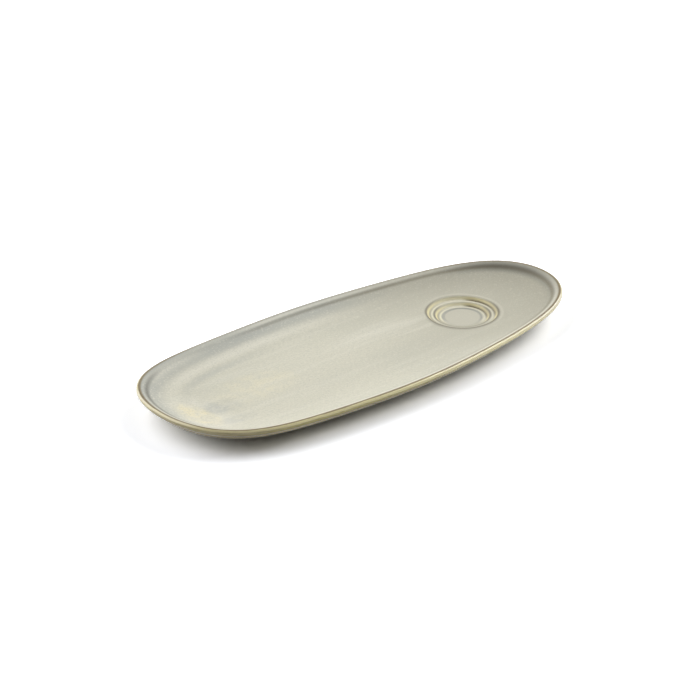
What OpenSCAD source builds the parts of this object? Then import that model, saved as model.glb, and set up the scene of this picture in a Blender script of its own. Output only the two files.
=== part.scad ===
// Olive dish: an egg-shaped stoneware platter with a stepped round well near one end.
// One pressed clay body carries three glaze coats: on the face, round the rim and on the base.
// Origin: on the table, under the middle of the plan. +X points to the end with the well, +Z up.

/* [Plan] */
// Length of the crest of the rim, from tip to tip
crest_length = 330; // [300:1:420]
// Width of the crest of the rim, at the middle of its length
crest_width = 135; // [110:1:190]
// Fullness of the blunt end: 0 is an ellipse, more is squarer
blunt_fullness = 0.6; // [0.35:0.01:0.7]
// Fullness of the narrow end, where the well lies
narrow_fullness = 0.36; // [0.25:0.01:0.55]
// How close to the tips that fullness keeps: more is closer
fullness_power = 3.2; // [2.6:0.1:3.8]
// Taper of the sides towards the narrow end, as a share of the width
taper = 0.09; // [0:0.01:0.12]

/* [Face] */
// Depth of the flat floor below the crest, at the middle of the sides
dish_depth = 6.2; // [4.5:0.1:9]
// Extra rise of the crest at the two tips
end_lift = 2.7; // [0:0.1:6]
// Width of the rounded band inside the crest
band_width = 5.2; // [3:0.1:9]
// Fall of that band from the crest to its crease
band_fall = 1.8; // [0.8:0.1:2.8]
// Roundness of that band: 1 is straight, more leaves the crest flatter and the crease deeper
band_roundness = 1.4; // [1:0.1:1.8]
// Width of the curved slope from the crease to the flat floor
slope_run = 36; // [20:0.5:45]
// Thickness of the floor, from the clay of the base up to the glazed face
floor_thickness = 7.2; // [6.6:0.1:10]

/* [Rim] */
// Radius of the round lip, whose top is the crest
lip_radius = 2; // [1.4:0.1:2.6]
// Height of the outer wall, from the crest down to its lower edge
wall_height = 9.5; // [7.5:0.1:11]
// Slope of the outer wall from the level, in degrees
wall_slope = 40; // [34:1:60]
// Width of the underside, from the lower edge of the wall to the foot ring
under_run = 14; // [8:0.5:24]

/* [Foot] */
// Height of the foot ring below the base
foot_height = 2; // [1.2:0.1:3]
// Width of the flat face of the foot ring
foot_width = 4.5; // [3:0.1:8]
// Width of each bevelled side of the foot ring
foot_bevel = 1.2; // [0.6:0.1:2]

/* [Well] */
// Distance of the well's middle from the middle of the dish
well_offset = 92; // [70:1:98]
// Radius of the well's outer edge
well_radius = 24.5; // [21:0.1:28]
// Depth of the upper step
upper_step = 1.8; // [0.8:0.1:2]
// Depth of the lower step
lower_step = 1.7; // [0.8:0.1:2]
// Width of the rounded slope of each step
step_run = 2.5; // [1.5:0.1:3.5]
// Width of the flat shelf at the foot of each step
shelf_width = 3.1; // [1.5:0.1:4]
// Depth of the shallow disc in the middle
disc_step = 0.3; // [0.1:0.05:0.6]
// Width of the rounded edge of the disc
disc_run = 0.8; // [0.4:0.1:1.5]

/* [Glaze] */
// Thickness of each coat
glaze = 0.4; // [0.3:0.05:0.6]

/* [Hidden] */

// Counts of flat pieces round the plan and along each stretch of the section
plan_pieces = 96;
slope_pieces = 6;
band_pieces = 3;
lip_pieces = 7;
step_pieces = 6;
$fn = 96;

half_length = crest_length / 2;
half_width = crest_width / 2;
base_z = foot_height;
floor_z = base_z + floor_thickness;
crest_z = floor_z + dish_depth;
bowl_rise = dish_depth - band_fall;
flat_inset = band_width + slope_run;
well_depth = upper_step + lower_step + disc_step;
// Room that a cut takes past the faces that it opens
cut_room = 1;

// Half width of the plan at a place along it, both as shares: an ellipse, tapered and with filled-out ends
function breadth(along) =
    let (fullness = along < 0 ? blunt_fullness : narrow_fullness)
    sqrt(1 - along * along) * (1 - taper * along + fullness * pow(abs(along), fullness_power));

// Plan of the rim, moved outwards by reach: [x, y] at each angle
function plan(reach) = [
    for (i = [0 : plan_pieces - 1])
        let (angle = 360 * i / plan_pieces, along = cos(angle))
        [
            (half_length + reach) * along,
            (half_width + reach) * breadth(along) * sign(sin(angle))
        ]
];

// The section is a list of [reach outside the crest, height, share of the end lift]

// Face: curved slope from the edge of the flat floor up to the crease
slope_section = [
    for (i = [0 : slope_pieces])
        let (up = i / slope_pieces, rise = bowl_rise * up * up)
        [-flat_inset + slope_run * up, floor_z + rise, rise / dish_depth]
];

// Face: rounded band from the crease up to the crest
band_section = [
    for (i = [1 : band_pieces])
        let (inset = 1 - i / band_pieces, rise = dish_depth - band_fall * pow(inset, band_roundness))
        [-band_width * inset, floor_z + rise, rise / dish_depth]
];

// Rim: round lip, from the crest round to where it meets the outer wall
lip_z = crest_z - lip_radius;
lip_turn = 180 - wall_slope;
lip_section = [
    for (i = [1 : lip_pieces])
        let (angle = 90 - lip_turn * i / lip_pieces)
        [lip_radius * cos(angle), lip_z + lip_radius * sin(angle), 1]
];

// Rim: straight outer wall down to its lower edge, and the underside from there to the foot ring
wall_top = lip_section[lip_pieces - 1];
wall_edge_z = crest_z - wall_height;
wall_run = (wall_top[1] - wall_edge_z) / tan(wall_slope);
wall_edge = [wall_top[0] - wall_run, wall_edge_z, 1];
under_edge = [wall_edge[0] - under_run, base_z, 0];
rim_section = concat(lip_section, [wall_edge, under_edge]);

// The whole glazed section and the clay under it, which lies one coat deeper
skin = concat(slope_section, band_section, rim_section);
crest_index = slope_pieces + band_pieces;
function unit(v) = v / norm(v);
function inward(path, i) =
    let (before = path[max(i - 1, 0)], after = path[min(i + 1, len(path) - 1)])
    let (along = unit([after[0] - before[0], after[1] - before[1]]))
    [along[1], -along[0], 0];
down = [0, -1, 0];
core = [for (i = [0 : len(skin) - 1]) skin[i] + glaze * (i == 0 ? down : inward(skin, i))];

// Bare foot ring and the recessed clay of the base
clay_edge = core[len(core) - 1];
foot_top = [clay_edge[0] - foot_bevel, 0, 0];
foot_inner = foot_top - [foot_width, 0, 0];
base_edge = foot_inner + [-foot_bevel, base_z, 0];
foot_section = [foot_top, foot_inner, base_edge];

// One ring of points round the plan for a point of the section
function ring(point) = [
    for (place = plan(point[0]))
        let (along = place[0] / (half_length + point[0]))
        [place[0], place[1], point[1] + end_lift * point[2] * along * along]
];
function rings(section) = [for (point = section) each ring(point)];

// Triangles between ring a and ring b, seen from the side where a lies inside or below
function strip(a, b) = [
    for (i = [0 : plan_pieces - 1])
        let (j = (i + 1) % plan_pieces, m = a * plan_pieces, n = b * plan_pieces)
        each [[m + i, m + j, n + j], [m + i, n + j, n + i]]
];
function flipped(faces) = [for (face = faces) [face[0], face[2], face[1]]];
function cap(a) = [for (i = [0 : plan_pieces - 1]) a * plan_pieces + i];
function reversed(list) = [for (i = [len(list) - 1 : -1 : 0]) list[i]];

// Solid inside a section that runs from the middle of the top to the middle of the bottom
module lofted_solid(section) {
    count = len(section);
    polyhedron(
        rings(section),
        concat(
            [reversed(cap(0)), cap(count - 1)],
            [for (k = [0 : count - 2]) each strip(k, k + 1)]
        )
    );
}

// Coat between two sections of equal length: a closed sheet, or an open ring
module coat(outer, inner, has_middle) {
    count = len(outer);
    polyhedron(
        concat(rings(outer), rings(inner)),
        concat(
            [for (k = [0 : count - 2]) each strip(k, k + 1)],
            [for (k = [0 : count - 2]) each flipped(strip(count + k, count + k + 1))],
            strip(count - 1, 2 * count - 1),
            has_middle ? [reversed(cap(0)), cap(count)] : flipped(strip(0, count))
        )
    );
}

// One rounded step of the well, from its edge to its foot: [radius, depth]
function soft_step(radius, depth, run, fall) = [
    for (i = [0 : step_pieces])
        let (share = i / step_pieces)
        [radius - run * share, depth + fall * (1 - cos(180 * share)) / 2]
];

// Section of the well from its outer edge to the edge of its flat disc
lower_edge = well_radius - step_run - shelf_width;
disc_edge = lower_edge - step_run - shelf_width;
well_section = concat(
    soft_step(well_radius, 0, step_run, upper_step),
    soft_step(lower_edge, upper_step, step_run, lower_step),
    soft_step(disc_edge, upper_step + lower_step, disc_run, disc_step)
);

// Space of the well, grown on all sides by a thickness
module well_space(growth) {
    mouth = well_radius + cut_room + growth;
    mouth_slope = upper_step / step_run;
    body = [for (point = well_section) point + [growth, growth]];
    translate([well_offset, 0, floor_z])
        rotate_extrude()
            mirror([0, 1])
                polygon(concat(
                    [[0, -dish_depth], [mouth, -dish_depth], [mouth, growth - cut_room * mouth_slope]],
                    body,
                    [[0, well_depth + growth]]
                ));
}

module stoneware_body() {
    color("tan")
        difference() {
            lofted_solid(concat(core, foot_section));
            well_space(glaze);
        }
}

module face_glaze() {
    face = [for (i = [0 : crest_index]) i];
    color("lightgray")
        difference() {
            union() {
                coat([for (i = face) skin[i]], [for (i = face) core[i]], true);
                intersection() {
                    well_space(glaze);
                    well_lining_room();
                }
            }
            well_space(0);
        }
}

// Room for the coat in the well: all that lies below the middle of the coat on the floor and its slope
module well_lining_room() {
    middle = [for (i = [0 : slope_pieces]) (skin[i] + core[i]) / 2];
    bottom = [middle[slope_pieces][0], floor_z - well_depth - glaze - cut_room, 0];
    lofted_solid(concat(middle, [bottom]));
}

module rim_glaze() {
    rim = [for (i = [crest_index : len(skin) - 1]) i];
    color("darkkhaki")
        coat([for (i = rim) skin[i]], [for (i = rim) core[i]], false);
}

module base_glaze() {
    color("gray")
        translate([0, 0, base_z - glaze])
            linear_extrude(glaze)
                polygon(plan(base_edge[0]));
}

stoneware_body();
face_glaze();
rim_glaze();
base_glaze();
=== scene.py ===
"""Olive dish: an egg-shaped stoneware platter with a stepped well, dressed in its fired glazes.

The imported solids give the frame. Four surfaces worked out with numpy stand for them at full smoothness:
the clay body, the coat on the face, the coat round the rim and the coat under the base.
"""

import math

import bpy
import numpy as np
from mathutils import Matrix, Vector


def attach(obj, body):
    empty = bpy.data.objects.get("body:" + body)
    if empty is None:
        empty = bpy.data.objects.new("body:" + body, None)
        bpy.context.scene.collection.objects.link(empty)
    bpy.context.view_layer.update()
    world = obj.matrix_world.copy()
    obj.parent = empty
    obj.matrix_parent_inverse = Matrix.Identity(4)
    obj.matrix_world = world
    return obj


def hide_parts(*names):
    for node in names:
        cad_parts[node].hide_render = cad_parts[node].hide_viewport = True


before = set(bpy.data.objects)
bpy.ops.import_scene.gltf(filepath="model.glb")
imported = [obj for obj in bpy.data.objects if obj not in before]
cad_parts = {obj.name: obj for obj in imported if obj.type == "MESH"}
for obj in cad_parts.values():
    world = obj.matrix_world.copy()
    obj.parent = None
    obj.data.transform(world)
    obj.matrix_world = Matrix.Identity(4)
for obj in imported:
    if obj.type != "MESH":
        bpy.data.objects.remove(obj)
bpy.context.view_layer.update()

bl_info = {
    "name": "Olive dish",
    "version": (1, 0, 0),
    "blender": (4, 5, 0),
    "location": "3D View > Sidebar > Dish",
    "description": "Builds a glazed stoneware olive dish on its packed solids",
    "category": "Object",
}

MM = 0.001
PHOTO_PIXELS = 700
SENSOR_MM = 36.0

# Counts of points: round the plan, on each stretch of the section, and for an even spacing round the plan
COLUMNS = 384
STRETCH_POINTS = 400
DENSE_POINTS = 40 * COLUMNS
# Rows of the face that shows and of the one under its coat: on the well, outside it, and up to the crest
SHOWN_ROWS = (64, 48, 56)
HIDDEN_ROWS = (24, 40, 20)
# Rows down the lip and the wall, on the skin and under its coat
SKIN_ROWS = 160
CORE_ROWS = 40
# Spacing of the section's points, the bell's reach in its own widths, and halvings in the search for an inset
SECTION_STEP = 0.05 * MM
BELL_REACH = 4
HALVINGS = 30
# Inset where the rows of the floor meet those of the rim, and the width of the flat outside the well
JOIN_INSET = 24 * MM
WELL_SURROUND = 1.5 * MM
# Circles on the flat of the well's disc, as shares of it, and the width of its flat kept for finer circles
DISC_CIRCLES = np.linspace(0.02, 0.9, 5)
DISC_MARGIN = 0.5 * MM
# How far in the rows of the base's coat go before its middle is closed, as a share of the half width
BASE_CLOSING = 0.97


def length(name, description, millimetres):
    """A length property, given in millimetres and kept in metres."""
    return bpy.props.FloatProperty(
        name=name, description=description, default=millimetres * MM, unit="LENGTH", precision=5
    )


def share(name, description, default, subtype="NONE"):
    """A plain number property."""
    return bpy.props.FloatProperty(
        name=name, description=description, default=default, precision=3, subtype=subtype
    )


def angle(name, description, degrees):
    """An angle property, given in degrees and kept in radians."""
    return bpy.props.FloatProperty(
        name=name, description=description, default=math.radians(degrees), subtype="ANGLE"
    )


def power(name, description, watts):
    """A lamp's power property."""
    return bpy.props.FloatProperty(name=name, description=description, default=watts, unit="POWER")


def linear(red, green, blue):
    """Linear colour of an sRGB colour given as 0 to 255."""
    values = [value / 255 for value in (red, green, blue)]
    return tuple(v / 12.92 if v <= 0.04045 else ((v + 0.055) / 1.055) ** 2.4 for v in values)


def colour(name, description, red, green, blue):
    """A colour property, written as an sRGB colour from 0 to 255."""
    return bpy.props.FloatVectorProperty(
        name=name,
        description=description,
        default=linear(red, green, blue),
        size=3,
        min=0.0,
        max=1.0,
        subtype="COLOR",
    )


class DishSizes(bpy.types.PropertyGroup):
    """Real sizes of the dish."""

    crest_length: length("Crest length", "Length of the rim's crest from tip to tip", 330)
    crest_width: length("Crest width", "Width of the rim's crest at the middle of its length", 135)
    blunt_fullness: share("Blunt fullness", "Fullness of the blunt end: 0 is an ellipse", 0.6)
    narrow_fullness: share("Narrow fullness", "Fullness of the end with the well", 0.36)
    fullness_power: share("Fullness power", "How close to the tips that fullness keeps", 3.2)
    taper: share("Taper", "Taper of the sides towards the narrow end", 0.09)
    dish_depth: length("Depth", "Depth of the floor below the crest at the sides", 6.2)
    end_lift: length("End lift", "Extra rise of the crest at the tips", 2.7)
    band_width: length("Band width", "Width of the rounded band inside the crest", 5.2)
    band_fall: length("Band fall", "Fall of that band to its crease", 1.8)
    band_roundness: share("Band roundness", "Exponent of that band's fall: 1 is straight", 1.4)
    slope_run: length("Slope run", "Width of the curved slope inside the crease", 36)
    floor_thickness: length("Floor", "Thickness of the floor", 7.2)
    lip_radius: length("Lip radius", "Radius of the round lip, a hair inside the solid's flat pieces", 1.98)
    wall_height: length("Wall height", "Height of the outer wall below the crest", 9.5)
    wall_slope: angle("Wall slope", "Slope of the outer wall from the level", 40)
    under_run: length("Underside", "Width of the underside from the wall to the foot ring", 14)
    foot_height: length("Foot height", "Height of the foot ring below the base", 2)
    foot_width: length("Foot width", "Width of the foot ring's flat face", 4.5)
    foot_bevel: length("Foot bevel", "Width of the foot ring's bevelled sides", 1.2)
    well_offset: length("Well offset", "Distance of the well from the middle", 92)
    well_radius: length("Well radius", "Radius of the well's outer edge", 24.5)
    upper_step: length("Upper step", "Depth of the well's upper step", 1.8)
    lower_step: length("Lower step", "Depth of the well's lower step", 1.7)
    step_run: length("Step run", "Width of each step's rounded slope", 2.5)
    shelf_width: length("Shelf", "Width of the flat shelf at the foot of each step", 3.1)
    disc_step: length("Disc step", "Depth of the shallow disc in the well's middle", 0.3)
    disc_run: length("Disc edge", "Width of the disc's rounded edge", 0.8)
    glaze: length("Glaze", "Thickness of each coat", 0.4)
    softness: length("Softness", "How far fired edges are rounded off", 0.45)


class GlazeColours(bpy.types.PropertyGroup):
    """Colours of the fired surfaces; some of them also paint light and shade."""

    cream: colour("Cream", "Main colour of the face", 216, 213, 195)
    grey: colour("Grey", "Cooler clouds on the face", 200, 199, 184)
    # Pale also paints the highlight on the light line inside the crest.
    pale: colour("Pale", "Pale streaks on the face and the light line inside the crest", 231, 228, 213)
    pooled: colour("Pooled", "Blue grey where the glaze pools along the edge", 174, 177, 171)
    # On the face, dusk paints shade: darker towards the narrow end and near its rim. On the well's disc and
    # under the base it is the glaze's own olive grey.
    dusk: colour("Dusk", "Olive grey of the narrow end", 169, 165, 148)
    warm: colour("Warm", "Warm patches on the face", 236, 228, 197)
    # Crease and cove are partly glaze that pools in hollows and partly painted shade in the creases and the
    # cove.
    crease: colour("Crease", "Dark glaze that gathers in a crease", 112, 102, 78)
    cove: colour("Cove", "Grey glaze in the cove inside the band at both tips", 112, 111, 102)
    brown: colour("Brown", "Where the glaze breaks on the crest, and iron specks", 142, 129, 102)
    worn: colour("Worn", "Where the glaze breaks on the edges of the well", 140, 135, 120)
    ring: colour("Ring", "Line round the well's disc", 172, 171, 160)
    honey: colour("Honey", "Honey colour of the lip and of the well's steps", 252, 242, 188)
    # Painted light: this bright honey lifts the well's far slopes, which lie in shade, and paints a highlight
    # on each shelf.
    honey_highlight: colour("Bright honey", "Brightest part of the well's steps and shelves", 252, 246, 212)
    # Painted shade: tan dulls the lip at both tips and on the far side, and the well's near slopes and those
    # towards the narrow tip.
    tan: colour("Tan", "Duller part of the lip and of the well's steps", 204, 192, 156)
    olive: colour("Olive", "Olive colour under the lip", 186, 174, 108)
    # Painted light: the near wall, which lies in shade, is painted this pale; the far wall has the base
    # glaze.
    wall: colour("Wall", "Pale glaze of the outer wall", 234, 226, 198)
    base: colour("Base", "Glaze of the underside and under the base", 196, 192, 174)
    clay: colour("Clay", "Bare fired clay of the foot ring", 186, 165, 136)
    paper: colour("Floor", "Pale studio floor", 222, 222, 222)


class StudioSettings(bpy.types.PropertyGroup):
    """Camera and light of the studio."""

    azimuth: angle("Azimuth", "Camera direction round the dish", -40.22)
    elevation: angle("Elevation", "Camera height above the horizon", 26.44)
    distance: length("Distance", "Distance from the camera to its aim", 3200)
    aim_x: length("Aim X", "Point that the camera looks at, along X", -4.07)
    aim_y: length("Aim Y", "Point that the camera looks at, along Y", 3.58)
    aim_z: length("Aim Z", "Point that the camera looks at, along Z", 10)
    focal_pixels: share("Focal", "Focal length in pixels of the photograph", 4831.1, "PIXEL")
    sky: share("Sky", "Strength of the even light from all round", 0.02)
    right_watts: power("Right light", "Power of the softbox behind on the right", 65)
    left_watts: power("Left light", "Power of the softbox behind on the left", 77)
    front_watts: power("Front light", "Power of the weak softbox in front", 2.5)
    floor_exposure: share("Floor exposure", "How bright the camera sees the open floor, 1 is white", 1.55)


# Short names below: s is the dish's sizes, c its colours, v the studio's settings and b a material's board

# Shapes


def breadth(s, along):
    """Half width of the plan as a share, at a place along it as a share.

    An ellipse, sqrt(1 - along^2), times 1 - taper * along + fullness * |along|^power. The fullness is the
    blunt end's on one half and the narrow end's on the half with the well.
    """
    fullness = np.where(along < 0, s.blunt_fullness, s.narrow_fullness)
    filled = 1 - s.taper * along + fullness * np.abs(along) ** s.fullness_power
    return np.sqrt(np.maximum(1 - along**2, 0)) * filled


def plan(s, reach, turn):
    """Plan of the rim moved outwards by reach: x = (half length + reach) * cos turn, and
    y = (half width + reach) * breadth(cos turn), on the side that the sine of the turn gives."""
    along = np.cos(turn)
    x = (s.crest_length / 2 + reach) * along
    y = (s.crest_width / 2 + reach) * breadth(s, along) * np.sign(np.sin(turn))
    return x, y, along


def even_turns(s):
    """Turns at which the points of the crest are evenly spaced along it."""
    dense = np.linspace(0, 2 * np.pi, DENSE_POINTS + 1)
    x, y, _ = plan(s, 0, dense)
    path = np.r_[0, np.cumsum(np.hypot(np.diff(x), np.diff(y)))]
    return np.interp(np.arange(COLUMNS) * path[-1] / COLUMNS, path, dense)


def softened(values, width):
    """Running Gaussian mean of a list of values, with its two ends kept."""
    reach = BELL_REACH * width
    bell = np.exp(-0.5 * (np.arange(-reach, reach + 1) / width) ** 2)
    before = 2 * values[0] - values[reach:0:-1]
    after = 2 * values[-1] - values[-2:-reach - 2:-1]
    return np.convolve(np.r_[before, values, after], bell / bell.sum(), "valid")


def heights(s):
    """Heights of the base's clay, the floor and the crest at the sides."""
    base = s.foot_height
    floor = base + s.floor_thickness
    return base, floor, floor + s.dish_depth


def glazed_section(s):
    """Section of the glazed skin, from the flat floor's edge over the crest to the foot ring.

    The slope is a parabola, the band falls from the crest as a power of its width, the lip is an arc,
    and the wall and the underside are straight. A running mean rounds off the corners between them.
    Returns reach outside the crest, height, share of the end lift and path length from the crest.
    """
    base, floor, crest = heights(s)
    rise = s.dish_depth - s.band_fall
    up = np.linspace(0, 1, STRETCH_POINTS)
    ones = np.ones_like(up)
    slope_rise = rise * up**2
    slope = np.c_[-s.band_width - s.slope_run * (1 - up), floor + slope_rise, slope_rise / s.dish_depth]
    band_rise = s.dish_depth - s.band_fall * (1 - up) ** s.band_roundness
    band = np.c_[s.band_width * (up - 1), floor + band_rise, band_rise / s.dish_depth]
    turn = np.pi / 2 - (np.pi - s.wall_slope) * up
    lip = np.c_[s.lip_radius * np.cos(turn), crest + s.lip_radius * (np.sin(turn) - 1), ones]
    fall = lip[-1, 1] - (crest - s.wall_height)
    wall = lip[-1] - up[:, None] * [fall / math.tan(s.wall_slope), fall, 0]
    under = wall[-1] - up[:, None] * [s.under_run, wall[-1, 1] - base, 1]
    corner = np.r_[slope, band[1:], lip[1:], wall[1:], under[1:]]
    path = np.r_[0, np.cumsum(np.hypot(*np.diff(corner[:, :2], axis=0).T))]
    even = np.arange(0, path[-1], SECTION_STEP)
    width = int(s.softness / SECTION_STEP)
    reach, height, lift = (softened(np.interp(even, path, column), width) for column in corner.T)
    return reach, height, lift, even - path[len(slope) + len(band) - 2]


def rings(s, reach, height, lift, turn):
    """Points of a section carried round the plan: rows follow the section, columns the plan.

    Each point rises by the end lift times its share of it times the square of its place along the dish.
    """
    x, y, along = plan(s, reach[:, None], turn[None, :])
    z = height[:, None] + s.end_lift * lift[:, None] * along**2
    return np.stack([x, y, z], axis=-1)


def inset_at(s, x, y):
    """Inset of the plan curve through each point, found by halving the interval again and again."""
    low = np.zeros_like(x)
    high = np.full_like(x, s.crest_width / 2)
    for _ in range(HALVINGS):
        middle = (low + high) / 2
        along = np.clip(x / (s.crest_length / 2 - middle), -1, 1)
        outside = np.abs(y) >= (s.crest_width / 2 - middle) * breadth(s, along)
        high = np.where(outside, middle, high)
        low = np.where(outside, low, middle)
    return low


def well_steps(s):
    """Edge radius, run and fall of each of the well's three rounded steps."""
    lower = s.well_radius - s.step_run - s.shelf_width
    disc = lower - s.step_run - s.shelf_width
    return (
        (s.well_radius, s.step_run, s.upper_step),
        (lower, s.step_run, s.lower_step),
        (disc, s.disc_run, s.disc_step),
    )


def well_depth(s, radius):
    """Depth of the well at a radius: three cosine steps with flat shelves between them."""
    inward = [(np.clip((edge - radius) / run, 0, 1), fall) for edge, run, fall in well_steps(s)]
    return sum(fall * (1 - np.cos(np.pi * part)) / 2 for part, fall in inward)


def face_surface(s, turn, rows):
    """Face of the dish as rows from the well's middle out to the crest.

    The first rows are circles of the well, the last ones the section carried round the plan, and the
    rows between them run straight from the well's surround to the ring at the join inset. The three
    counts of rows are given. Returns the points and the inset of each.
    """
    well_rows, middle_rows, ring_rows = rows
    reach, height, lift, path = glazed_section(s)
    face = path <= 0
    outer_path = np.linspace(np.interp(-JOIN_INSET, reach[face], path[face]), 0, ring_rows)
    outer = [np.interp(outer_path, path, values) for values in (reach, height, lift)]
    ring = rings(s, *outer, turn)
    direction = np.arctan2(ring[0, :, 1], ring[0, :, 0] - s.well_offset)
    surround = s.well_radius + WELL_SURROUND
    disc, disc_run, _ = well_steps(s)[-1]
    flat = disc - disc_run - DISC_MARGIN
    radius = np.r_[DISC_CIRCLES * flat, np.linspace(flat, surround, well_rows - len(DISC_CIRCLES))]
    well_x = s.well_offset + radius[:, None] * np.cos(direction)
    well_y = radius[:, None] * np.sin(direction)
    mix = np.linspace(0, 1, middle_rows + 2)[1:-1, None]
    middle_x = (1 - mix) * well_x[-1] + mix * ring[0, :, 0]
    middle_y = (1 - mix) * well_y[-1] + mix * ring[0, :, 1]
    x = np.r_[well_x, middle_x]
    y = np.r_[well_y, middle_y]
    inset = inset_at(s, x, y)
    order = np.argsort(-reach[face])
    section = [np.interp(inset, -reach[face][order], values[face][order]) for values in (height, lift)]
    along = x / (s.crest_length / 2 - inset)
    z = section[0] + s.end_lift * section[1] * along**2
    z = z - well_depth(s, np.hypot(x - s.well_offset, y))
    points = np.r_[np.stack([x, y, z], axis=-1), ring]
    return points, np.r_[inset, np.repeat(-outer[0][:, None], len(turn), axis=1)]


def rim_section(s, rows):
    """Lip and outer wall as a skin section and the section one coat deeper.

    The deeper one lies one coat inwards, square to the skin, and straight down at the crest. Returns the
    two sections, their shares of the end lift and their path lengths from the crest.
    """
    reach, height, lift, path = glazed_section(s)
    places = np.linspace(0, path[-1], rows)
    skin = np.stack([np.interp(places, path, values) for values in (reach, height)], axis=-1)
    along = np.gradient(skin, axis=0)
    along /= np.linalg.norm(along, axis=1)[:, None]
    inward = np.c_[along[:, 1], -along[:, 0]]
    inward[0] = (0, -1)
    return skin, skin + s.glaze * inward, np.interp(places, path, lift), places


def foot_reaches(s):
    """Reach of the foot ring's outer edge, of its inner edge and of the base inside it."""
    _, core, _, _ = rim_section(s, CORE_ROWS)
    outer = core[-1, 0] - s.foot_bevel
    inner = outer - s.foot_width
    return outer, inner, inner - s.foot_bevel


# Meshes


def grid_faces(rows, columns):
    """Quads between neighbouring rows of a grid whose columns close on themselves."""
    row = np.arange(rows - 1)[:, None] * columns
    here = np.arange(columns)[None, :]
    there = (here + 1) % columns
    quads = np.stack([row + here, row + columns + here, row + columns + there, row + there], axis=-1)
    return quads.reshape(-1, 4)


def fan_faces(pole, first, columns, upwards):
    """Triangles from a pole to the row of points that starts at first."""
    here = first + np.arange(columns)
    there = first + (np.arange(columns) + 1) % columns
    tip = np.full(columns, pole)
    return np.stack([tip, here, there] if upwards else [tip, there, here], axis=-1)


def mesh_piece(name, points, quads, triangles, attributes, sharp_rows, columns):
    """Mesh object from arrays, smooth, with named point attributes and sharp rings of edges."""
    mesh = bpy.data.meshes.new(name)
    mesh.vertices.add(len(points))
    mesh.vertices.foreach_set("co", points.astype(np.float32).ravel())
    corners = np.r_[quads.ravel(), triangles.ravel()].astype(np.int32)
    totals = np.r_[np.full(len(quads), 4), np.full(len(triangles), 3)].astype(np.int32)
    mesh.loops.add(len(corners))
    mesh.loops.foreach_set("vertex_index", corners)
    mesh.polygons.add(len(totals))
    mesh.polygons.foreach_set("loop_start", np.r_[0, np.cumsum(totals)[:-1]].astype(np.int32))
    mesh.polygons.foreach_set("loop_total", totals)
    mesh.polygons.foreach_set("use_smooth", np.ones(len(totals), dtype=bool))
    mesh.update(calc_edges=True)
    for label, values in attributes.items():
        layer = mesh.attributes.new(label, "FLOAT", "POINT")
        layer.data.foreach_set("value", values.astype(np.float32).ravel())
    ends = np.empty(2 * len(mesh.edges), dtype=np.int32)
    mesh.edges.foreach_get("vertices", ends)
    row = ends.reshape(-1, 2) // columns
    sharp = (row[:, 0] == row[:, 1]) & np.isin(row[:, 0], sharp_rows)
    mesh.attributes.new("sharp_edge", "BOOLEAN", "EDGE").data.foreach_set("value", sharp)
    if mesh.validate():
        raise RuntimeError(name + " has faults in its mesh")
    piece = bpy.data.objects.new(name, mesh)
    bpy.context.scene.collection.objects.link(piece)
    return piece


def closed_piece(name, surface, attributes, sharp_rows):
    """Solid whose rows run from a pole at the top to a pole at the bottom."""
    rows, columns, _ = surface.shape
    top, bottom = surface[0].mean(axis=0), surface[-1].mean(axis=0)
    points = np.r_[surface.reshape(-1, 3), top[None], bottom[None]]
    count = rows * columns
    triangles = np.r_[
        fan_faces(count, 0, columns, True),
        fan_faces(count + 1, count - columns, columns, False),
    ]
    poles = {label: np.r_[v.ravel(), v[0].mean(), v[-1].mean()] for label, v in attributes.items()}
    return mesh_piece(name, points, grid_faces(rows, columns), triangles, poles, sharp_rows, columns)


def ring_piece(name, surface, attributes, sharp_rows):
    """Ring whose rows close on themselves round the section."""
    rows, columns, _ = surface.shape
    here = np.arange(columns)
    there = (here + 1) % columns
    last = (rows - 1) * columns
    closing = np.stack([last + here, here, there, last + there], axis=-1)
    quads = np.r_[grid_faces(rows, columns), closing]
    none = np.empty((0, 3), dtype=int)
    return mesh_piece(name, surface.reshape(-1, 3), quads, none, attributes, sharp_rows, columns)


# Shader maths


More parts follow.
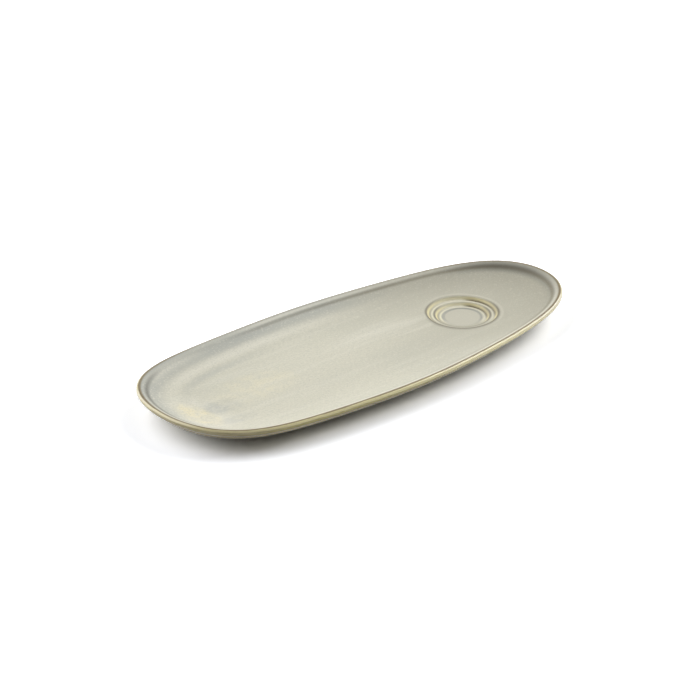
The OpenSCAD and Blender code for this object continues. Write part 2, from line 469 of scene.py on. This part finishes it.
class Board:
    """Node tree of a new material or world, with one method that makes any node."""

    # Sockets of the Mix node that hold its factor, its two colours and its colour result
    MIX_FACTOR, MIX_FIRST, MIX_SECOND = 0, 6, 7
    MIX_RESULT = 2

    def __init__(self, owner):
        self.owner = owner
        owner.use_nodes = True
        self.tree = owner.node_tree
        self.tree.nodes.clear()

    def node(self, kind, settings=None, sockets=None, out=0):
        """Makes a node: its settings come first, then values or wires for its sockets."""
        made = self.tree.nodes.new(kind)
        for key, value in (settings or {}).items():
            setattr(made, key, value)
        for key, value in (sockets or {}).items():
            if isinstance(value, Wire):
                self.tree.links.new(value.socket, made.inputs[key])
            else:
                made.inputs[key].default_value = value
        return Wire(self, made.outputs[out]) if made.outputs else made

    def math(self, operation, *values):
        """A Math node on wires or numbers."""
        return self.node("ShaderNodeMath", {"operation": operation}, dict(enumerate(values)))

    def most(self, first, second):
        """The greater of two values."""
        return self.math("MAXIMUM", first, second)

    def mix(self, factor, first, second):
        """Colour that goes from first to second as factor goes from 0 to 1."""
        pick = {"data_type": "RGBA", "clamp_factor": True}
        sockets = {
            self.MIX_FACTOR: factor,
            self.MIX_FIRST: self.solid(first),
            self.MIX_SECOND: self.solid(second),
        }
        return self.node("ShaderNodeMix", pick, sockets, self.MIX_RESULT)

    @staticmethod
    def solid(tint):
        """A colour socket's value: a wire as it is, or a colour with full alpha."""
        return tint if isinstance(tint, Wire) else (*tint, 1)

    def place(self):
        """Object coordinates."""
        return self.node("ShaderNodeTexCoord", out="Object")

    def parts(self, vector):
        """The x, y and z of a vector."""
        split = self.node("ShaderNodeSeparateXYZ", None, {0: vector})
        return [Wire(self, socket) for socket in split.socket.node.outputs]

    def scaled(self, vector, scale, shift=(0, 0, 0)):
        """A vector stretched along the axes and shifted."""
        return self.node("ShaderNodeMapping", None, {"Vector": vector, "Scale": scale, "Location": shift})

    def attribute(self, name):
        """A point attribute of the piece."""
        return self.node("ShaderNodeAttribute", {"attribute_name": name}, out="Fac")

    def noise(self, vector, scale, detail=2.0, roughness=0.5):
        """Soft noise between 0 and 1."""
        sockets = {"Vector": vector, "Scale": scale, "Detail": detail, "Roughness": roughness}
        return self.node("ShaderNodeTexNoise", None, sockets)

    def smooth(self, value, low, high):
        """0 below low, 1 above high, with a smooth step between them."""
        sockets = {"Value": value, "From Min": low, "From Max": high}
        return self.node("ShaderNodeMapRange", {"interpolation_type": "SMOOTHSTEP"}, sockets)

    def line(self, value, middle, half_width):
        """1 on a line at middle, falling to 0 at half_width on both sides."""
        return 1 - self.smooth(self.math("ABSOLUTE", value - middle), 0.0, half_width)

    def spot(self, x, y, middle, spread):
        """Soft round spot: 1 in the middle and 0 past its spread, given for x and y."""
        across = (x - middle[0]) / spread[0]
        down = (y - middle[1]) / spread[1]
        return 1 - self.smooth(across * across + down * down, 0.0, 1.0)

    def bump(self, strength, depth, height):
        """Normal of a surface that rises and falls with height, by depth."""
        return self.node("ShaderNodeBump", None, {"Strength": strength, "Distance": depth, "Height": height})

    def seen(self):
        """1 for what the camera sees directly, in a gloss or through something clear, and 0 for light
        that a matt surface has scattered on its way."""
        outputs = self.node("ShaderNodeLightPath").socket.node.outputs
        kinds = ("Is Camera Ray", "Is Glossy Ray", "Is Transmission Ray", "Diffuse Depth")
        camera, glossy, through, scattered = (Wire(self, outputs[kind]) for kind in kinds)
        return self.most(camera, self.most(glossy, through)) * (1 - self.math("MINIMUM", scattered, 1.0))

    def finish(self, base, roughness, normal, others=None):
        """Ends the material in one Principled shader, with values or wires for its other sockets."""
        sockets = {"Base Color": base, "Roughness": roughness, "Normal": normal, **(others or {})}
        shader = self.node("ShaderNodeBsdfPrincipled", None, sockets)
        self.node("ShaderNodeOutputMaterial", None, {"Surface": shader})
        return self.owner


class Wire:
    """An output socket that takes part in Python arithmetic by adding Math nodes."""

    def __init__(self, board, socket):
        self.board = board
        self.socket = socket

    def __add__(self, other):
        return self.board.math("ADD", self, other)

    def __radd__(self, other):
        return self.board.math("ADD", other, self)

    def __sub__(self, other):
        return self.board.math("SUBTRACT", self, other)

    def __rsub__(self, other):
        return self.board.math("SUBTRACT", other, self)

    def __mul__(self, other):
        return self.board.math("MULTIPLY", self, other)

    def __rmul__(self, other):
        return self.board.math("MULTIPLY", other, self)

    def __truediv__(self, other):
        return self.board.math("DIVIDE", self, other)

    def __rtruediv__(self, other):
        return self.board.math("DIVIDE", other, self)


# Finishes

# Zones along the dish, in metres: a change starts at the first place and is whole at the second
NARROW_END_SHADE = (-0.03, 0.15)
WELL_END = (0.0, 0.09)
NARROW_TIP = (0.08, 0.15)
NARROW_COVE = (0.105, 0.150)
NARROW_CREST = (0.08, 0.14)
BLUNT_TIP = (-0.115, -0.16)
BLUNT_BAND = (-0.115, -0.150)
RIBBON_START = (-0.150, -0.105)
RIBBON_STOP = (-0.05, 0.03)
GREY_RIBBON_START = (-0.03, -0.10)
WORN_START = (-0.02, -0.07)
FROST_START = (-0.075, -0.115)
FROST_STOP = (-0.125, -0.142)
BLUNT_BEAD_SHADE = (-0.11, -0.155)
BROWN_WALL_END = (-0.10, -0.15)
THICK_BEAD = (-0.08, 0.08)

# Zones across the dish, towards the far side
FAR_FLOOR = (0.0, 0.04)
FAR_BAND = (0.0, 0.03)
FAR_CREST = (0.02, 0.055)
FAR_WALL = (-0.02, 0.03)
FAR_OF_TIP = (-0.03, 0.01)
FAR_OF_COVE = (-0.045, 0.02)

# Zones of the inset from the crest, and of the path down from it on the lip and the wall
POOL_INSET = (0.008, 0.020)
EDGE_SHADE_INSET = (0.006, 0.030)
CREST_INSET = (0.0004, 0.0014)
BEAD_DOWN = (0.0004, 0.0011)
OLIVE_DOWN = (0.0020, 0.0030)
WALL_DOWN = (0.0044, 0.0060)
BROWN_DOWN = (0.0018, 0.0030)
MATT_DOWN = (0.0055, 0.0090)
UNDER_DOWN = (0.0125, 0.0165)

# Lines that follow the rim, in metres: inset of the middle and half width
LIGHT_LINE = (0.0024, 0.0022)
GREY_LINE = (0.0012, 0.0022)
FROST_LINE = (0.0062, 0.0050)
BLUNT_CREASE = (0.0044, 0.0025)
PALE_RIBBON = (0.0185, 0.0070)
GREY_RIBBON = (0.0275, 0.0060)
# Half widths of the lines on the band's own crease
COVE_HALF = 0.0065
CREASE_HALF = 0.0024

# Pale run of glaze on the floor, and stains of the blunt end with their colour and strength: middle, spread
PALE_RUN = ((0.025, 0.005), (0.060, 0.022))
STAINS = (
    ("pale", 0.6, (-0.138, -0.008), (0.022, 0.040)),
    ("warm", 0.9, (-0.141, -0.007), (0.014, 0.026)),
    ("warm", 0.3, (-0.085, 0.004), (0.040, 0.022)),
    ("pooled", 0.40, (-0.125, -0.004), (0.010, 0.012)),
    ("pooled", 0.25, (-0.113, -0.005), (0.011, 0.012)),
    ("pooled", 0.22, (-0.124, -0.026), (0.020, 0.008)),
)


def cloud_tint(b, c, x, y, inset, fields):
    """Clouds, streaks, the pool along the far edge, painted shade towards the narrow end and near its rim,
    and the blunt end's stains.

    Ribbons of pale and grey glaze follow the far side. Fine mottle and specks lie over all of it.
    """
    cloud, streak, blotch, mottle, speck = fields
    tint = b.mix(b.smooth(cloud, 0.44, 0.70) * 0.4, c.cream, c.grey)
    tint = b.mix(b.smooth(streak, 0.46, 0.74) * 0.35, tint, c.pale)
    # Painted shade: the face turns darker and olive grey towards the narrow end.
    tint = b.mix(b.smooth(x, *NARROW_END_SHADE) * 0.70, tint, c.dusk)
    run = b.spot(x, y, *PALE_RUN) * b.smooth(streak, 0.42, 0.66)
    tint = b.mix(run * 0.5, tint, c.pale)

    far = b.smooth(y, *FAR_FLOOR)
    tip = b.smooth(x, *BLUNT_TIP) * b.smooth(y, *FAR_OF_TIP)
    well_end = b.smooth(x, *WELL_END)
    pool = (1 - b.smooth(inset, *POOL_INSET)) * (0.2 + 0.9 * cloud) * (1 - 0.8 * well_end)
    tint = b.mix(pool * b.most(far, tip * 0.9), tint, c.pooled)
    # Painted shade: near the rim, on the far side and at the narrow tip, the face turns darker towards the
    # well's end.
    edge = (1 - b.smooth(inset, *EDGE_SHADE_INSET)) * b.most(far, b.smooth(x, *NARROW_TIP))
    tint = b.mix(edge * well_end * 0.45, tint, c.dusk)

    drifting = inset + (cloud - 0.5) * 0.008
    ribbon = far * b.smooth(x, *RIBBON_START) * (1 - b.smooth(x, *RIBBON_STOP))
    tint = b.mix(b.line(drifting, *PALE_RIBBON) * ribbon * 0.8, tint, c.pale)
    grey_ribbon = ribbon * b.smooth(x, *GREY_RIBBON_START)
    tint = b.mix(b.line(drifting, *GREY_RIBBON) * grey_ribbon * 0.4, tint, c.pooled)

    uneven = 0.4 + b.smooth(blotch, 0.35, 0.65)
    for stain, strength, middle, spread in STAINS:
        tint = b.mix(b.spot(x, y, middle, spread) * uneven * strength, tint, getattr(c, stain))
    tint = b.mix(b.smooth(mottle, 0.50, 0.72) * 0.55, tint, c.grey)
    tint = b.mix(b.smooth(mottle, 0.50, 0.28) * (0.45 - 0.2 * well_end + 0.5 * tip), tint, c.pale)
    return b.mix(b.smooth(speck, 0.56, 0.74) * 0.40, tint, c.pooled)


def edge_tint(b, s, c, x, y, inset, cloud, mottle, tint):
    """Light line inside the crest with a painted highlight, a dark crease that is partly glaze that pools
    there and partly painted shade, widest at the narrow end, and a brown crest.

    On the far side of the blunt end the light line is worn and a mottled frost lies inside it.
    """
    shaded = b.smooth(x * 4.7 + y * 9.5, -0.5, 0.8)
    band_shaded = b.smooth(x * 4.7 + y * 4.0, 0.1, 1.0)
    cove = b.smooth(x, *NARROW_COVE) * b.smooth(y, *FAR_OF_COVE)
    blunt = b.smooth(x, *BLUNT_BAND)
    far = b.smooth(y, *FAR_BAND)
    worn = far * b.smooth(x, *WORN_START)
    frosted = far * b.smooth(x, *FROST_START)

    # Pale glaze with a painted highlight on the light line: strongest on the near side and at the blunt end,
    # where the band faces the lamps, weaker where it lies in shade.
    light = (0.75 - 0.5 * band_shaded) * (1 - 0.2 * blunt) * (1 - 0.7 * worn)
    tint = b.mix(b.line(inset, *LIGHT_LINE) * light, tint, c.pale)
    frost = b.line(inset, *FROST_LINE) * frosted * (0.3 + 0.7 * b.smooth(mottle, 0.40, 0.60))
    tint = b.mix(frost * (0.7 - 0.6 * b.smooth(x, *FROST_STOP)), tint, c.pale)
    tint = b.mix(b.line(inset, *GREY_LINE) * frosted * 0.4, tint, c.pooled)

    # Partly glaze that pools in the crease and partly painted shade: a darker line on the band's crease at
    # the blunt end.
    tint = b.mix(b.line(inset, *BLUNT_CREASE) * blunt * (0.45 + 0.5 * cloud), tint, c.cove)
    # Painted shade in the cove at the narrow end, on its far side, where the band faces away from the lamps.
    tint = b.mix(b.line(inset, s.band_width, COVE_HALF) * cove * 0.85, tint, c.cove)
    # The crease is partly glaze that pools there and partly painted shade: darker towards the far side and
    # the narrow end, where the band lies in shade.
    gathered_and_shaded = (0.10 + 0.30 * shaded) * (0.4 + 1.2 * cloud) * (1 - worn)
    tint = b.mix(b.line(inset, s.band_width, CREASE_HALF) * gathered_and_shaded, tint, c.crease)

    covered = b.smooth(y, *FAR_CREST) * (1 - b.smooth(x, *NARROW_CREST)) * (1 - 0.8 * frosted)
    return b.mix((1 - b.smooth(inset, *CREST_INSET)) * (0.95 - 0.65 * covered), tint, c.brown)


# Direction from the near side of the well to its far side, and its zones as parts of the radius
WELL_AWAY = (0.64, 0.77)
WELL_NEAR = (-0.2, -0.8)
WELL_FAR = (0.3, 0.9)
WELL_LEFT = (0.2, -0.8)
WELL_SHADED_SIDE = (0.60, 0.88)
# Lines on the well's steps, in metres: half widths, and how far from the edge or the foot some of them lie
SLOPE_SHARE = 0.8
STEP_HALF = 0.0016
LEDGE_IN, LEDGE_HALF = 0.0017, 0.0015
NEAR_OUT, NEAR_HALF = 0.0006, 0.0034
HALO_OUT, HALO_HALF = 0.0026, 0.0017
DISC_HALF = 0.0019


def well_tint(b, s, c, x, y, radius, tint):
    """Honey slopes, pale shelves, and dark lines on the edges and at the feet of the well's steps.

    The dark lines at the feet of the steps are partly glaze that pools there and partly painted shade,
    strongest towards the narrow tip and weakest on the near side.
    Painted light and shade colour the slopes, bright honey on the far side, which lies in shade, and dull tan
    on the near side and towards the narrow tip, and a painted highlight lies on each shelf.
    """
    (upper, run, _), (lower, _, _), (disc, disc_run, _) = well_steps(s)
    across = (x - s.well_offset) / radius
    down = y / radius
    away = across * WELL_AWAY[0] + down * WELL_AWAY[1]
    near = b.smooth(away, *WELL_NEAR)
    far = b.smooth(away, *WELL_FAR)
    left = b.smooth(across, *WELL_LEFT)
    gathered_and_shaded = b.smooth(across, *WELL_SHADED_SIDE)

    inside = 1 - b.smooth(radius, upper - run, upper)
    shelf = b.smooth(radius, disc - disc_run, disc)
    tint = b.mix(inside * 0.35 * (1 - near * shelf), tint, c.pale)
    tint = b.mix((1 - shelf) * 0.22, tint, c.dusk)
    # Painted light and shade on the slopes: bright honey on the far side, which lies in shade, dull tan on
    # the near side and towards the narrow tip.
    slope = b.mix(far * (1 - gathered_and_shaded), c.honey, c.honey_highlight)
    slope = b.mix(0.55 * (1 - far) * (1 - 0.7 * left) + 0.25 * gathered_and_shaded, slope, c.tan)

    # Painted highlight on each shelf, none on the near side and strongest on the left.
    bright = (1 - near) * (0.25 + 0.35 * left)
    # Partly glaze that pools at the foot of each step and partly painted shade, darkest towards the narrow
    # tip.
    dark = 0.06 + 0.30 * left + (0.55 + 0.37 * far) * gathered_and_shaded
    for edge, strength in ((upper, 1.0), (lower, 1.0 - 0.4 * near)):
        foot = edge - run
        tint = b.mix(b.line(radius, edge - run / 2, run * SLOPE_SHARE) * strength, tint, slope)
        tint = b.mix(b.line(radius, foot - LEDGE_IN, LEDGE_HALF) * bright, tint, c.honey_highlight)
        tint = b.mix(b.line(radius, foot, STEP_HALF) * dark * strength, tint, c.crease)
        # Painted light: the broken edges are fainter on the far side, where the steps lie in shade.
        tint = b.mix(b.line(radius, edge, STEP_HALF) * strength * (0.95 - 0.5 * far), tint, c.worn)
    tint = b.mix(b.line(radius, upper + NEAR_OUT, NEAR_HALF) * near * 0.6, tint, c.worn)
    tint = b.mix(b.line(radius, upper + HALO_OUT, HALO_HALF) * 0.22 * (1 - left), tint, c.pale)
    return b.mix(b.line(radius, disc - disc_run / 2, DISC_HALF) * (1.0 - 0.85 * near), tint, c.ring)


def face_finish(s, c):
    """Satin reactive glaze: cream clouds and streaks, a pool along the far edge, broken edges, and painted
    light and shade on the band, in the well and towards the narrow end.
    """
    b = Board(bpy.data.materials.new("face_glaze_satin"))
    place = b.place()
    x, y, _ = b.parts(place)
    inset = b.attribute("inset")
    radius = b.math("SQRT", (x - s.well_offset) * (x - s.well_offset) + y * y)
    cloud = b.noise(b.scaled(place, (0.4, 1, 1)), 22.0, 3.0)
    streak = b.noise(b.scaled(place, (0.07, 1, 1), (0.31, 0, 0)), 120.0, 2.0)
    blotch = b.noise(place, 130.0, 3.0)
    mottle = b.noise(place, 640.0, 2.0, 0.65)
    speck = b.noise(place, 1500.0, 1.0)
    tint = cloud_tint(b, c, x, y, inset, (cloud, streak, blotch, mottle, speck))
    tint = edge_tint(b, s, c, x, y, inset, cloud, mottle, tint)
    tint = well_tint(b, s, c, x, y, radius, tint)
    bump = b.bump(0.12, 0.4 * MM, mottle * 0.6 + speck * 0.25 + streak * 0.5)
    return b.finish(tint, 0.50 + 0.12 * mottle, bump, {"Specular IOR Level": 0.3})


def rim_finish(c):
    """Glossy glaze that runs from a brown crest through honey to olive and a pale, matt wall.

    Painted light and shade: the bead is bright honey on the near side and dull tan at both tips and on the
    far side, where the lamps fall on it, and the near wall, which lies in shade, is painted paler than the
    base glaze of the far wall. Its bead of honey is wider towards the narrow end.
    """
    b = Board(bpy.data.materials.new("rim_glaze_gloss"))
    place = b.place()
    x, y, _ = b.parts(place)
    drift = b.noise(b.scaled(place, (1, 1, 0.4)), 55.0, 3.0)
    speck = b.noise(place, 1100.0, 2.0)
    down = b.attribute("from_crest") + (drift - 0.5) * 0.0012
    # Painted shade: tan dulls the bead at both tips and on the far side, where the lamps fall on it.
    tip_shade = b.most(b.smooth(x, *NARROW_TIP) * 0.8, b.smooth(x, *BLUNT_BEAD_SHADE) * 0.6)
    thick = b.smooth(x, *THICK_BEAD)
    far = b.smooth(y, *FAR_WALL)
    bead = b.mix(b.most(tip_shade, far * 0.8), c.honey, c.tan)
    # Painted light: the near wall, which lies in shade, is painted pale; the far wall has the base glaze.
    wall = b.mix(far, c.wall, c.base)
    tint = b.mix(b.smooth(down, *BEAD_DOWN), c.brown, bead)
    tint = b.mix(b.smooth(down - 0.0012 * thick, *OLIVE_DOWN), tint, c.olive)
    tint = b.mix(b.smooth(down - 0.0006 * thick, *WALL_DOWN), tint, wall)
    tint = b.mix(b.smooth(x, *BROWN_WALL_END) * b.smooth(down, *BROWN_DOWN) * 0.6, tint, c.brown)
    tint = b.mix(b.smooth(down, *UNDER_DOWN), tint, c.base)
    tint = b.mix(b.smooth(speck, 0.55, 0.75) * 0.15, tint, c.brown)
    matt = b.smooth(down, *MATT_DOWN)
    rough = 0.16 + 0.14 * speck + 0.34 * matt
    return b.finish(tint, rough, b.bump(0.05, 0.3 * MM, speck), {"Coat Weight": 0.4 * (1 - matt)})


def base_finish(c):
    """Satin glaze under the base with faint clouds and specks."""
    b = Board(bpy.data.materials.new("base_glaze_satin"))
    place = b.place()
    cloud = b.noise(b.scaled(place, (0.5, 1, 1)), 26.0, 3.0)
    speck = b.noise(place, 1400.0, 2.0)
    tint = b.mix(b.smooth(cloud, 0.40, 0.70) * 0.6, c.base, c.dusk)
    tint = b.mix(b.smooth(speck, 0.58, 0.74) * 0.35, tint, c.brown)
    return b.finish(tint, 0.36 + 0.1 * cloud, b.bump(0.10, 0.3 * MM, speck))


def clay_finish(c):
    """Bare fired stoneware: matt, sandy, with dark iron specks."""
    b = Board(bpy.data.materials.new("bare_stoneware"))
    place = b.place()
    grain = b.noise(place, 1500.0, 4.0, 0.7)
    cloud = b.noise(place, 40.0, 2.0)
    tint = b.mix(cloud * 0.5, c.clay, c.honey)
    tint = b.mix(b.smooth(grain, 0.60, 0.72) * 0.6, tint, c.brown)
    return b.finish(tint, 0.82 + 0.1 * grain, b.bump(0.35, 0.3 * MM, grain))


# Floor: half its side and where it fades to plain white, in metres, and the faint cast of its open part
FLOOR_HALF = 6.0
FLOOR_FADE = (0.8, 1.6)
FLOOR_CAST = (0.99, 1.0, 1.03)
# White horizon: the heights of a direction, as its sine, between which it fades out
HORIZON_FADE = (0.10, 0.30)


def paper_finish(c, exposure):
    """White studio floor that keeps shadows; seen directly or in a gloss it is exposed to clean white.

    Away from the dish it turns to plain white for the camera, so that it has no dark horizon.
    """
    b = Board(bpy.data.materials.new("studio_floor"))
    seen = b.seen()
    shade = b.mix(seen, c.paper, [exposure * part for part in FLOOR_CAST])
    x, y, _ = b.parts(b.place())
    away = b.smooth(b.math("SQRT", x * x + y * y), *FLOOR_FADE)
    plain = b.node("ShaderNodeBsdfDiffuse", None, {"Color": shade})
    white = b.node("ShaderNodeEmission", None, {"Strength": 1.0})
    whole = b.node("ShaderNodeMixShader", None, {0: seen * away, 1: plain, 2: white})
    b.node("ShaderNodeOutputMaterial", None, {"Surface": whole})
    b.owner.cycles.emission_sampling = "NONE"
    return b.owner


def air_finish(sky):
    """Dim air all round, with a white horizon for the camera and for reflections."""
    b = Board(bpy.data.worlds.new("studio_air"))
    _, _, up = b.parts(b.node("ShaderNodeTexCoord", out="Generated"))
    horizon = b.seen() * (1 - b.smooth(up, *HORIZON_FADE))
    strength = sky + horizon * (1 - sky)
    air = b.node("ShaderNodeBackground", None, {"Color": (1, 1, 1, 1), "Strength": strength})
    b.node("ShaderNodeOutputWorld", None, {"Surface": air})
    return b.owner


# Operators


def dress(piece, material, node):
    """Gives a piece its material, hangs it on the root body and hides the solid that it stands for."""
    piece.data.materials.append(material)
    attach(piece, "root")
    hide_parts(node)


def settings():
    """The dish's sizes, its colours and the studio's settings."""
    scene = bpy.context.scene
    return scene.dish_sizes, scene.glaze_colours, scene.studio_settings


class DISH_OT_face(bpy.types.Operator):
    """Adds the glaze coat on the face, the band inside the crest and the well."""

    bl_idname = "dish.face"
    bl_label = "Face glaze"

    def execute(self, context):
        s, c, _ = settings()
        turn = even_turns(s)
        top, inset = face_surface(s, turn, SHOWN_ROWS)
        under, under_inset = face_surface(s, turn, HIDDEN_ROWS)
        surface = np.r_[top, under[::-1] - (0, 0, s.glaze)]
        marks = {"inset": np.r_[inset, under_inset[::-1]]}
        piece = closed_piece("glazed_face", surface, marks, (len(top) - 1, len(top)))
        dress(piece, face_finish(s, c), "face_glaze")
        return {"FINISHED"}


class DISH_OT_rim(bpy.types.Operator):
    """Adds the glaze coat on the lip and the outer wall."""

    bl_idname = "dish.rim"
    bl_label = "Rim glaze"

    def execute(self, context):
        s, c, _ = settings()
        turn = even_turns(s)
        skin, _, lift, path = rim_section(s, SKIN_ROWS)
        _, core, core_lift, core_path = rim_section(s, CORE_ROWS)
        outer = rings(s, skin[:, 0], skin[:, 1], lift, turn)
        inner = rings(s, core[:, 0], core[:, 1], core_lift, turn)[::-1]
        surface = np.r_[outer, inner]
        row_path = np.r_[path, core_path[::-1]]
        marks = {"from_crest": np.repeat(row_path[:, None], COLUMNS, axis=1)}
        sharp = (0, len(outer) - 1, len(outer), len(surface) - 1)
        piece = ring_piece("glazed_rim", surface, marks, sharp)
        dress(piece, rim_finish(c), "rim_glaze")
        return {"FINISHED"}


class DISH_OT_clay(bpy.types.Operator):
    """Adds the fired clay with its bare foot ring."""

    bl_idname = "dish.clay"
    bl_label = "Clay body"

    def execute(self, context):
        s, c, _ = settings()
        turn = even_turns(s)
        base, _, _ = heights(s)
        face = face_surface(s, turn, HIDDEN_ROWS)[0] - (0, 0, s.glaze)
        _, core, lift, _ = rim_section(s, CORE_ROWS)
        wall = rings(s, core[:, 0], core[:, 1], lift, turn)
        foot = rings(s, np.array(foot_reaches(s)), np.array([0, 0, base]), np.zeros(3), turn)
        surface = np.r_[face, wall, foot]
        last = len(face) + len(wall)
        piece = closed_piece("clay_body", surface, {}, (last - 1, last, last + 1, last + 2))
        dress(piece, clay_finish(c), "stoneware_body")
        return {"FINISHED"}


class DISH_OT_base(bpy.types.Operator):
    """Adds the glaze coat under the base, inside the foot ring."""

    bl_idname = "dish.base"
    bl_label = "Base glaze"

    def execute(self, context):
        s, c, _ = settings()
        turn = even_turns(s)
        base, _, _ = heights(s)
        _, _, edge = foot_reaches(s)
        middle = -s.crest_width / 2 * BASE_CLOSING
        reach = np.array([middle, edge, edge, middle])
        height = np.array([base, base, base - s.glaze, base - s.glaze])
        surface = rings(s, reach, height, np.zeros(4), turn)
        piece = closed_piece("glazed_base", surface, {}, (1, 2))
        dress(piece, base_finish(c), "base_glaze")
        return {"FINISHED"}


# Softboxes: degrees to the right of straight behind, degrees up, distance and size in metres
RIGHT_BOX = (55, 33, 2.6, (2.3, 1.8))
LEFT_BOX = (-71, 35, 2.4, (3.6, 2.6))
FRONT_BOX = (138, 57, 2.2, (1.6, 1.6))
CLIP_END = 100


def add_floor(scene, material):
    """Square floor under the dish, which is no part of it."""
    mesh = bpy.data.meshes.new("studio_floor")
    half = FLOOR_HALF
    corners = [(-half, -half, 0), (half, -half, 0), (half, half, 0), (-half, half, 0)]
    mesh.from_pydata(corners, [], [(0, 1, 2, 3)])
    mesh.materials.append(material)
    floor = bpy.data.objects.new("studio_floor", mesh)
    scene.collection.objects.link(floor)


def add_softbox(scene, name, flat, right, box, watts):
    """Area lamp turned to the dish.

    Its place is counted from flat, the level direction to the camera, and from the camera's right.
    """
    turn, height, distance, size = box
    turn, height = math.radians(turn), math.radians(height)
    level = right * math.sin(turn) - flat * math.cos(turn)
    away = level * math.cos(height) + Vector((0, 0, math.sin(height)))
    data = bpy.data.lights.new(name, "AREA")
    data.shape = "RECTANGLE"
    data.size, data.size_y = size
    data.energy = watts
    lamp = bpy.data.objects.new(name, data)
    lamp.location = away * distance
    lamp.rotation_euler = (-away).to_track_quat("-Z", "Y").to_euler()
    scene.collection.objects.link(lamp)


def add_camera(scene, v, flat):
    """Camera at the photograph's angle, aimed at a point of the dish."""
    data = bpy.data.cameras.new("photo_camera")
    data.sensor_width = SENSOR_MM
    data.lens = SENSOR_MM * v.focal_pixels / PHOTO_PIXELS
    data.clip_end = CLIP_END
    camera = bpy.data.objects.new("photo_camera", data)
    back = flat * math.cos(v.elevation) + Vector((0, 0, math.sin(v.elevation)))
    camera.location = Vector((v.aim_x, v.aim_y, v.aim_z)) + back * v.distance
    camera.rotation_euler = (-back).to_track_quat("-Z", "Y").to_euler()
    scene.collection.objects.link(camera)
    scene.camera = camera


class DISH_OT_studio(bpy.types.Operator):
    """Adds the floor, the light and the camera."""

    bl_idname = "dish.studio"
    bl_label = "Studio"

    def execute(self, context):
        _, c, v = settings()
        scene = context.scene
        scene.view_settings.view_transform = "Standard"
        add_floor(scene, paper_finish(c, v.floor_exposure))
        scene.world = air_finish(v.sky)
        flat = Vector((math.sin(v.azimuth), -math.cos(v.azimuth), 0))
        right = Vector((math.cos(v.azimuth), math.sin(v.azimuth), 0))
        add_softbox(scene, "right_softbox", flat, right, RIGHT_BOX, v.right_watts)
        add_softbox(scene, "left_softbox", flat, right, LEFT_BOX, v.left_watts)
        add_softbox(scene, "front_softbox", flat, right, FRONT_BOX, v.front_watts)
        add_camera(scene, v, flat)
        return {"FINISHED"}


class DISH_PT_panel(bpy.types.Panel):
    """Lists the pieces of the dish."""

    bl_label = "Olive dish"
    bl_idname = "DISH_PT_panel"
    bl_space_type = "VIEW_3D"
    bl_region_type = "UI"
    bl_category = "Dish"

    def draw(self, context):
        for operator in OPERATORS:
            self.layout.operator(operator.bl_idname)


GROUPS = {"dish_sizes": DishSizes, "glaze_colours": GlazeColours, "studio_settings": StudioSettings}
OPERATORS = (DISH_OT_clay, DISH_OT_face, DISH_OT_rim, DISH_OT_base, DISH_OT_studio)


def register():
    """Registers the classes and hangs the property groups on the scene."""
    for cls in (*GROUPS.values(), *OPERATORS, DISH_PT_panel):
        bpy.utils.register_class(cls)
    for name, group in GROUPS.items():
        setattr(bpy.types.Scene, name, bpy.props.PointerProperty(type=group))


def unregister():
    """Takes the property groups and the classes away again."""
    for name in GROUPS:
        delattr(bpy.types.Scene, name)
    for cls in reversed((*GROUPS.values(), *OPERATORS, DISH_PT_panel)):
        bpy.utils.unregister_class(cls)


def main():
    """Builds the dish and the studio."""
    register()
    bpy.ops.dish.clay()
    bpy.ops.dish.face()
    bpy.ops.dish.rim()
    bpy.ops.dish.base()
    bpy.ops.dish.studio()


if __name__ == "__main__":
    main()
